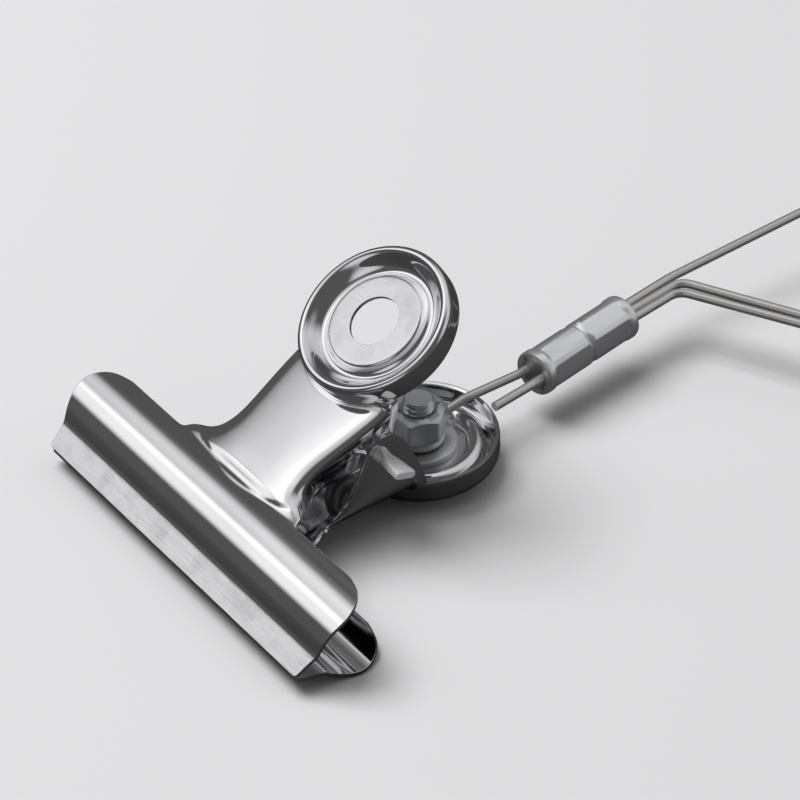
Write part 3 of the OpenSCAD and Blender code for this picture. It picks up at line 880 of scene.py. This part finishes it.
def wire_mesh(name, path, radius):
    """A round wire along a line of points, with capped ends."""
    line = bpy.data.curves.new(name, "CURVE")
    line.dimensions = "3D"
    line.bevel_depth = radius
    line.bevel_resolution = 6
    line.use_fill_caps = True
    spline = line.splines.new("POLY")
    spline.points.add(len(path) - 1)
    for point, at in zip(spline.points, path):
        point.co = (*at, 1)
    holder = bpy.data.objects.new(name, line)
    bpy.context.scene.collection.objects.link(holder)
    bpy.context.view_layer.update()
    mesh = bpy.data.meshes.new_from_object(holder.evaluated_get(bpy.context.evaluated_depsgraph_get()))
    bm = bmesh.new()
    bm.from_mesh(mesh)
    bpy.data.objects.remove(holder)
    bpy.data.meshes.remove(mesh)
    bmesh.ops.remove_doubles(bm, verts=bm.verts, dist=SAME_PLACE)
    return bm


# Straight pieces in one turn of the coil
COIL_STEPS = 32


class CLIP_OT_spring(bpy.types.Operator):
    """Builds the torsion spring, whose legs press the two handles apart."""

    bl_idname = "clip.spring"
    bl_label = "Torsion spring"

    def execute(self, context):
        size = context.scene.clip_hardware
        lean, leg, half = size.leg_lean, size.leg_length, size.coil_half
        sweep = 2 * math.pi * size.coil_turns + 2 * (math.pi / 2 - lean)
        steps = COIL_STEPS * size.coil_turns
        coil = []
        for k in range(steps + 1):
            angle = math.pi / 2 + lean + sweep * k / steps
            coil.append(
                Vector(
                    (
                        -half + 2 * half * k / steps,
                        size.coil_radius * math.cos(angle),
                        size.coil_radius * math.sin(angle),
                    )
                )
            )
        out = leg * Vector((0, math.cos(lean), math.sin(lean)))
        back = Vector((0, out.y, -out.z))
        path = [coil[0] + out, coil[0] + 0.1 * out] + coil + [coil[-1] + 0.1 * back, coil[-1] + back]
        name = "torsion_spring"
        bm = wire_mesh(name, path, size.spring_wire / 2)
        piece = finish_piece(name, bm, PIN_PLACE, [spring_steel()], "lower_clip", (name,))
        # the spring bends between both jaws, so it leaves the one body that it was given
        place = piece.matrix_world.copy()
        piece.parent = None
        piece.matrix_world = place
        del piece["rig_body"]
        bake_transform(piece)
        return {"FINISHED"}


# ---- bolt, nut and washers ----


def lathe(points, steps=96):
    """A closed turned solid. The line of (radius, height) starts and ends on the axis, or meets itself."""
    bm = bmesh.new()
    close = points[0][0] > 0 and points[-1][0] > 0
    spin_round(bm, points, steps, close=close)
    return bm


# Nut corners: where they are rounded off and where the chamfer starts, in halves of the flats, and its slope
CORNER_REACH = 1.135
CHAMFER_START = 0.985
CHAMFER_SLOPE = math.radians(32)
# Depth of the thread, in pitches
THREAD_DEPTH = 0.54
# Plain length of the bolt above its head before the thread starts
PLAIN_SHANK = 0.9


def threaded_bolt(size):
    """Low round head, shank and a cut thread with a chamfered end."""
    r, top = size.bolt_radius, size.bolt_top
    head, low, high = size.head_radius, size.head_low, size.head_high
    outline = [(0, low), (head - 1.6, low + 0.02), (head - 0.9, low + 0.12), (head - 0.35, low + 0.5)]
    outline += [(head - 0.08, low + 0.9), (head, low + 1.2)]
    outline += [(head, high - 0.15), (head - 0.15, high), (r, high)]
    rings = round((top - high - 0.2) / (size.thread_pitch / 8))
    outline += [(r, high + 0.2 + (top - high - 0.2) * k / rings) for k in range(rings + 1)]
    outline += [(0.62 * r, top), (0.3 * r, top), (0, top)]
    bm = lathe(outline)
    depth = THREAD_DEPTH * size.thread_pitch
    for v in bm.verts:
        radius = math.hypot(v.co.x, v.co.y)
        if v.co.z > high + PLAIN_SHANK and radius > 0.9 * r:
            phase = (v.co.z / size.thread_pitch - math.atan2(v.co.y, v.co.x) / (2 * math.pi)) % 1
            cut = depth * min(1.0, max(0.0, 1.35 * (1 - abs(2 * phase - 1)) - 0.12))
            chamfer = r - 0.78 * depth - 0.12 + max(0.0, top - v.co.z) * 0.9
            wanted = min(r - 0.03 - cut, chamfer)
            v.co.x *= wanted / radius
            v.co.y *= wanted / radius
    return bm


class CLIP_OT_bolt(bpy.types.Operator):
    """Builds the bolt, its nut and the two flat washers."""

    bl_idname = "clip.bolt"
    bl_label = "Bolt, nut and washers"

    def execute(self, context):
        size = context.scene.clip_hardware
        zinc = [zinc_plate()]
        finish_piece("bolt", threaded_bolt(size), BOLT_PLACE, zinc, "lower_clip", ("bolt",), 40)
        self.nut(size, zinc)
        for name, low in (("inner_washer", size.inner_washer_low), ("outer_washer", size.outer_washer_low)):
            self.washer(size, name, low, zinc)
        return {"FINISHED"}

    def nut(self, size, zinc):
        """A hexagon nut with chamfered corners and a countersunk bore."""
        flats, low, high = size.nut_flats / 2, size.nut_low, size.nut_high
        bore = size.bolt_radius + 0.03

        def hexagon(angle):
            inside = (angle - size.nut_turn + math.pi / 6) % (math.pi / 3) - math.pi / 6
            return min(flats / math.cos(inside), flats * CORNER_REACH)

        def ring(radius, height):
            return lambda angle: (radius * math.cos(angle), radius * math.sin(angle), height)

        def side(height, direction, shrink):
            """A ring on the flats whose corners are cut back by the chamfer cone."""

            def point(angle):
                radius = hexagon(angle)
                cut = max(0.0, radius - CHAMFER_START * flats) * math.tan(CHAMFER_SLOPE)
                radius -= shrink
                return radius * math.cos(angle), radius * math.sin(angle), height - direction * (cut + shrink)

            return point

        rings = [
            ring(bore, low + 0.45),
            ring(bore + 0.4, low),
            ring(0.93 * flats, low),
            side(low, -1, 0.05),
            side(low + 0.08, -1, 0.0),
            side(high - 0.08, 1, 0.0),
            side(high, 1, 0.05),
            ring(0.93 * flats, high),
            ring(bore + 0.42, high),
            ring(bore, high - 0.45),
            ring(bore, low + 0.45),
        ]
        bm = bmesh.new()
        loft(bm, rings, 144, cap=False)
        bmesh.ops.remove_doubles(bm, verts=bm.verts, dist=SAME_PLACE)
        bmesh.ops.recalc_face_normals(bm, faces=bm.faces)
        finish_piece("nut", bm, BOLT_PLACE, zinc, "lower_clip", ("nut",), 24)

    def washer(self, size, name, low, zinc):
        """A punched washer, rounder on the side that the punch entered."""
        outer, inner, high = size.washer_radius, size.bolt_radius + 0.2, low + size.washer_thickness
        soft = 0.16
        outline = [
            (inner, low),
            (outer - soft, low),
            (outer - 0.3 * soft, low + 0.3 * soft),
            (outer, low + soft),
            (outer, high - 1.5 * soft),
            (outer - 0.4 * soft, high - 0.45 * soft),
            (outer - 1.5 * soft, high),
            (inner + soft, high),
            (inner, high - soft),
        ]
        finish_piece(name, lathe(outline), BOLT_PLACE, zinc, "lower_clip", (name,), 50)


# ---- bail ----


# Space between wires that lie side by side, and the eye's play round the bolt
STRAND_SPACE = 0.15
EYE_PLAY = 0.1
# How far the sleeve's axis lies to the side of the eye's wire
SLEEVE_ASIDE = 0.57
# The wires part this far behind the sleeve
PART_BEHIND = 1.5
# The eye stays open over the first angle, and its wire leaves it at the second, from the bail's X axis
EYE_GAP = math.radians(55)
EYE_LEAVES = math.radians(125)
EYE_STEPS = 44
# Straight run of the wire from the eye, and the reach where it has risen to the strands
EYE_RUN = 1.2
RISEN_AT = (0.4, 10)


def rounded_path(points, radii):
    """A line along the points with each corner rounded to its radius."""
    points = [Vector(p) for p in points]
    path = [points[0]]
    for before, corner, after, radius in zip(points, points[1:], points[2:], radii[1:]):
        into, out = (before - corner).normalized(), (after - corner).normalized()
        half = into.angle(out) / 2
        centre = corner + (into + out).normalized() * radius / math.sin(half)
        start = corner + into * radius / math.tan(half) - centre
        end = corner + out * radius / math.tan(half) - centre
        swing = start.angle(end)
        steps = max(2, math.ceil(math.degrees(swing) / 6))
        for k in range(steps + 1):
            t = k / steps
            path.append(
                centre + (start * math.sin((1 - t) * swing) + end * math.sin(t * swing)) / math.sin(swing)
            )
    return path + [points[-1]]


def bail_place(bail):
    """Frame of the bail: at the bolt, with Y along the sleeve and Z along the bolt."""
    return BOLT_PLACE @ Matrix.Rotation(bail.turn, 4, "Z")


def bail_lines(bail, bolt_radius):
    """Named places that the wires run through."""
    r = bail.wire / 2
    gap = bail.wire + STRAND_SPACE
    eye = bolt_radius + r + EYE_PLAY
    axis = eye + SLEEVE_ASIDE
    height = r + STRAND_SPACE
    apex = Vector((axis, bail.apex_reach, height))
    side_b = Vector((math.sin(bail.straight_side), math.cos(bail.straight_side), 0))
    side_c = Vector((math.sin(bail.doubled_side), math.cos(bail.doubled_side), 0))
    return {
        "gap": gap,
        "eye": eye,
        "axis": axis,
        "height": height,
        "apex": apex,
        "side_b": side_b,
        "side_c": side_c,
        "out_c": Vector((side_c.y, -side_c.x, 0)),
        "corner_b": apex + bail.side_length * side_b,
        "corner_c": apex + bail.side_length * side_c,
        "bend": bail.bend_radius + r,
        "spread": bail.sleeve_start + bail.sleeve_length + PART_BEHIND,
    }


class CLIP_OT_bail(bpy.types.Operator):
    """Builds the two wires of the bail."""

    bl_idname = "clip.bail"
    bl_label = "Bail wires"

    def execute(self, context):
        bail = context.scene.clip_bail
        at = bail_lines(bail, context.scene.clip_hardware.bolt_radius)
        gap, axis, height, apex = at["gap"], at["axis"], at["height"], at["apex"]
        bend, spread = at["bend"], at["spread"]

        def on_eye(turn):
            return Vector((at["eye"] * math.cos(turn), at["eye"] * math.sin(turn), bail.eye_height))

        start, sweep = EYE_LEAVES - EYE_GAP, 2 * math.pi - EYE_GAP
        eye = [on_eye(start - sweep * k / EYE_STEPS) for k in range(EYE_STEPS)]
        off = on_eye(EYE_LEAVES)
        main = [
            off,
            off + EYE_RUN * Vector((math.sin(EYE_LEAVES), -math.cos(EYE_LEAVES), 0)),
            (*RISEN_AT, height),
            (axis - gap, bail.sleeve_start - 1, height),
            (axis - gap, spread, height),
            apex - 1.1 * at["side_b"] - Vector((0.75 * gap, 0, 0)),
            at["corner_b"],
            at["corner_c"],
            apex + Vector((0.35 * gap, -0.5, 0)),
            (axis, spread, height),
            (axis, bail.sleeve_start + 1.2, height),
        ]
        radii = [0, 2, 4, 6, 10, bend, bend, bend, bend, 10, 0]
        path = eye + rounded_path(main, radii)
        base = (at["corner_c"] - at["corner_b"]).normalized()
        out_base = Vector((-base.y, base.x, 0))
        tie = [
            (axis + 0.7 * gap, bail.sleeve_start - 10, height),
            (axis + gap, bail.sleeve_start - 1, height),
            (axis + gap, spread, height),
            apex + Vector((1.25 * gap, -2.6, 0)),
            at["corner_c"] + at["out_c"] * gap + at["side_c"] * 1.35 * gap,
            at["corner_c"] - base * 10 + out_base * gap,
        ]
        second = rounded_path(tie, [0, 6, 10, bend, bend + gap, 0])
        for name, line in (("bail_wire", path), ("tie_wire", second)):
            bm = wire_mesh(name, line, bail.wire / 2)
            finish_piece(name, bm, bail_place(bail), [wire_steel()], "bail", (name,), 50)
        return {"FINISHED"}


# Angle of the crimp's flats, and the reach of its corners in halves of the flats
CRIMP_TURN = math.radians(12)
CRIMP_CORNER = 1.105


class CLIP_OT_sleeve(bpy.types.Operator):
    """Builds the crimped sleeve: round ends and two six-sided crimps with a groove between them."""

    bl_idname = "clip.sleeve"
    bl_label = "Crimped sleeve"

    def execute(self, context):
        bail = context.scene.clip_bail
        at = bail_lines(bail, context.scene.clip_hardware.bolt_radius)
        length, outer, flats = bail.sleeve_length, bail.sleeve_radius, bail.crimp_flats / 2
        bore = at["gap"] + bail.wire / 2 + 0.12

        def ring(radius, crimp, along):
            """A ring that is round where crimp is 0 and pressed to flats where it is 1."""

            def point(angle):
                inside = (angle - CRIMP_TURN + math.pi / 6) % (math.pi / 3) - math.pi / 6
                pressed = min(flats / math.cos(inside), flats * CRIMP_CORNER)
                r = radius + (min(radius, pressed) - radius) * crimp
                return r * math.cos(angle), along, r * math.sin(angle)

            return point

        half = length / 2
        stations = [
            (bore, 0, 0.5),
            (bore + 0.1, 0, 0.0),
            (outer - 0.3, 0, 0.0),
            (outer - 0.08, 0, 0.12),
            (outer, 0, 0.4),
            (outer, 0, 1.35),
            (outer - 0.06, 0.6, 1.7),
            (outer, 1, 2.1),
            (outer, 1, half - 0.75),
            (outer - 0.28, 0.5, half - 0.4),
            (outer - 0.5, 0, half),
            (outer - 0.28, 0.5, half + 0.4),
            (outer, 1, half + 0.75),
            (outer, 1, length - 2.1),
            (outer - 0.06, 0.6, length - 1.7),
            (outer, 0, length - 1.35),
            (outer, 0, length - 0.4),
            (outer - 0.08, 0, length - 0.12),
            (outer - 0.3, 0, length),
            (bore + 0.1, 0, length),
            (bore, 0, length - 0.5),
            (bore, 0, 0.5),
        ]
        bm = bmesh.new()
        loft(bm, [ring(*station) for station in stations], 144, cap=False)
        bmesh.ops.remove_doubles(bm, verts=bm.verts, dist=SAME_PLACE)
        bmesh.ops.recalc_face_normals(bm, faces=bm.faces)
        place = bail_place(bail) @ Matrix.Translation(
            Vector((at["axis"], bail.sleeve_start, at["height"])) * MM
        )
        finish_piece(
            "crimp_sleeve", bm, place, [tinned_sleeve()], "bail", ("crimp_sleeve",), 28
        )
        return {"FINISHED"}


# ---- stage ----


def softbox(name, towards, away, side, power):
    """A square soft light that faces the clip from that direction."""
    lamp = bpy.data.lights.new(name, "AREA")
    lamp.shape = "RECTANGLE"
    lamp.size = side
    lamp.size_y = side
    lamp.energy = power
    light = bpy.data.objects.new(name, lamp)
    bpy.context.scene.collection.objects.link(light)
    direction = Vector(towards).normalized()
    light.location = direction * away
    light.rotation_euler = direction.to_track_quat("Z", "Y").to_euler()
    return light


# Soft lights of the room as (azimuth, elevation, brightness, full within, gone beyond), in degrees
ROOM_GLOWS = (
    (-49, 33, 0.95, 6, 17),
    (-66, 53, 0.62, 6, 22),
    (-170, 58, 0.55, 10, 34),
    (-20, 66, 0.5, 6, 30),
    (-75, 72, 0.35, 8, 30),
    (28, 14, 0.60, 6, 26),
    (145, 22, 0.50, 8, 34),
)
# Light of the room between the glows, and how much of the floor's colour the metal reflects
ROOM_LEVEL = 0.1
REFLECTED_FLOOR = 0.06
FLOOR_HALF = 1.5
FLOOR_BELOW = 0.00005
# Camera: its right and up directions, its place from the lips along right, up and back, and its lens
CAMERA_RIGHT = Vector((0.60276, 0.79727, 0.03208))
CAMERA_UP = Vector((-0.49925, 0.34547, 0.79462))
CAMERA_AWAY = (33.475, 22.940, 465.68)
CAMERA_LENS = 144.3
CAMERA_SENSOR = 36.0


def soft_glow():
    """A round patch of light in one direction, added to the level before it."""
    group, given, out = group_of(
        "Soft glow",
        [
            ("Vector", "NodeSocketVector", None),
            ("Direction", "NodeSocketVector", None),
            ("Inner", "NodeSocketFloat", 0.98),
            ("Outer", "NodeSocketFloat", 0.9),
            ("Brightness", "NodeSocketFloat", 1.0),
            ("Before", "NodeSocketFloat", 0.0),
        ],
        [("Level", "NodeSocketFloat")],
    )
    nodes, link = group.nodes, group.links.new
    aim = nodes.new("ShaderNodeVectorMath")
    aim.operation = "DOT_PRODUCT"
    link(given.outputs["Vector"], aim.inputs[0])
    link(given.outputs["Direction"], aim.inputs[1])
    fade = nodes.new("ShaderNodeMapRange")
    fade.interpolation_type = "SMOOTHSTEP"
    link(aim.outputs["Value"], fade.inputs["Value"])
    link(given.outputs["Outer"], fade.inputs["From Min"])
    link(given.outputs["Inner"], fade.inputs["From Max"])
    add = nodes.new("ShaderNodeMath")
    add.operation = "MULTIPLY_ADD"
    link(fade.outputs["Result"], add.inputs[0])
    link(given.outputs["Brightness"], add.inputs[1])
    link(given.outputs["Before"], add.inputs[2])
    link(add.outputs["Value"], out.inputs["Level"])
    return group


class CLIP_OT_stage(bpy.types.Operator):
    """Sets the floor, the soft lights and the camera."""

    bl_idname = "clip.stage"
    bl_label = "Studio"

    def execute(self, context):
        scene = context.scene
        self.floor(scene)
        self.room(scene)
        overhead = softbox("overhead_light", towards=(-0.35, -0.25, 0.9), away=1.2, side=0.7, power=14.0)
        # the metal reflects the glows of the room, and not the lamp
        overhead.visible_glossy = False
        scene.view_settings.view_transform = "Standard"
        self.camera(scene)
        return {"FINISHED"}

    def room(self, scene):
        """Surrounds the clip with a dim room and broad soft lights whose edges fade out."""
        world = bpy.data.worlds.new("studio")
        world.use_nodes = True
        nodes, link = world.node_tree.nodes, world.node_tree.links.new
        glow = effect("Soft glow", soft_glow)
        around = nodes.new("ShaderNodeTexCoord")
        level = None
        for turn, rise, bright, inner, outer in ROOM_GLOWS:
            lobe = nodes.new("ShaderNodeGroup")
            lobe.node_tree = glow
            turn, rise = math.radians(turn), math.radians(rise)
            lobe.inputs["Direction"].default_value = (
                math.sin(turn) * math.cos(rise), -math.cos(turn) * math.cos(rise), math.sin(rise)
            )
            lobe.inputs["Inner"].default_value = math.cos(math.radians(inner))
            lobe.inputs["Outer"].default_value = math.cos(math.radians(outer))
            lobe.inputs["Brightness"].default_value = bright
            link(around.outputs["Generated"], lobe.inputs["Vector"])
            if level:
                link(level, lobe.inputs["Before"])
            else:
                lobe.inputs["Before"].default_value = ROOM_LEVEL
            level = lobe.outputs["Level"]
        link(level, nodes["Background"].inputs["Color"])
        scene.world = world

    def floor(self, scene):
        """A plain pale floor just under the clip."""
        material, nodes, links, bsdf = shader("studio_floor")
        bsdf.inputs["Roughness"].default_value = 0.7
        bsdf.inputs["Specular IOR Level"].default_value = 0.2
        # the metal reflects a darker floor than the one seen, so that it keeps its contrast
        path = nodes.new("ShaderNodeLightPath")
        tone = nodes.new("ShaderNodeMix")
        tone.data_type = "RGBA"
        tone.inputs["A"].default_value = (*scene.clip_finish.floor, 1)
        tone.inputs["B"].default_value = (*(REFLECTED_FLOOR * c for c in scene.clip_finish.floor), 1)
        links.new(path.outputs["Is Glossy Ray"], tone.inputs["Factor"])
        links.new(tone.outputs["Result"], bsdf.inputs["Base Color"])
        bm = bmesh.new()
        under = Matrix.Translation((0, 0, CAD_BOX[0][2] - FLOOR_BELOW))
        bmesh.ops.create_grid(bm, x_segments=1, y_segments=1, size=FLOOR_HALF, matrix=under)
        mesh = bpy.data.meshes.new("floor")
        bm.to_mesh(mesh)
        bm.free()
        mesh.materials.append(material)
        floor = bpy.data.objects.new("floor", mesh)
        scene.collection.objects.link(floor)

    def camera(self, scene):
        """A long lens that looks down on the clip from its front right."""
        right, up, back = CAMERA_RIGHT, CAMERA_UP, CAMERA_RIGHT.cross(CAMERA_UP)
        lens = bpy.data.cameras.new("camera")
        lens.lens = CAMERA_LENS
        lens.sensor_width = CAMERA_SENSOR
        camera = bpy.data.objects.new("camera", lens)
        scene.collection.objects.link(camera)
        along_right, along_up, along_back = CAMERA_AWAY
        away = along_right * right + along_up * up + along_back * back
        spot = Vector(MOUTH["pos_m"]) + away * MM
        camera.matrix_world = Matrix.Translation(spot) @ Matrix((right, up, back)).transposed().to_4x4()
        scene.camera = camera


class CLIP_PT_panel(bpy.types.Panel):
    """Lists the pieces of the clip and their settings."""

    bl_label = "Spring clip"
    bl_idname = "CLIP_PT_panel"
    bl_space_type = "VIEW_3D"
    bl_region_type = "UI"
    bl_category = "Spring Clip"

    def draw(self, context):
        layout = self.layout
        for settings in (context.scene.clip_jaws, context.scene.clip_hardware, context.scene.clip_bail):
            box = layout.box()
            for name in settings.bl_rna.properties.keys():
                if name not in ("rna_type", "name"):
                    box.prop(settings, name)
        for step in STEPS:
            layout.operator(step.bl_idname)


SETTINGS = {
    "clip_jaws": ClipJawSettings,
    "clip_hardware": ClipHardwareSettings,
    "clip_bail": ClipBailSettings,
    "clip_finish": ClipFinishSettings,
}
STEPS = (CLIP_OT_stage, CLIP_OT_jaws, CLIP_OT_pin, CLIP_OT_spring, CLIP_OT_bolt, CLIP_OT_bail, CLIP_OT_sleeve)


def register():
    """Registers the settings, the operators and the panel."""
    for name, settings in SETTINGS.items():
        bpy.utils.register_class(settings)
        setattr(bpy.types.Scene, name, PointerProperty(type=settings))
    for cls in (*STEPS, CLIP_PT_panel):
        bpy.utils.register_class(cls)


def unregister():
    """Takes away what register added."""
    for cls in (CLIP_PT_panel, *reversed(STEPS)):
        bpy.utils.unregister_class(cls)
    for name, settings in SETTINGS.items():
        delattr(bpy.types.Scene, name)
        bpy.utils.unregister_class(settings)


def main():
    """Builds everything in order."""
    register()
    for step in STEPS:
        area, action = step.bl_idname.split(".")
        getattr(getattr(bpy.ops, area), action)()
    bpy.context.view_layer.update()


if __name__ == "__main__":
    main()
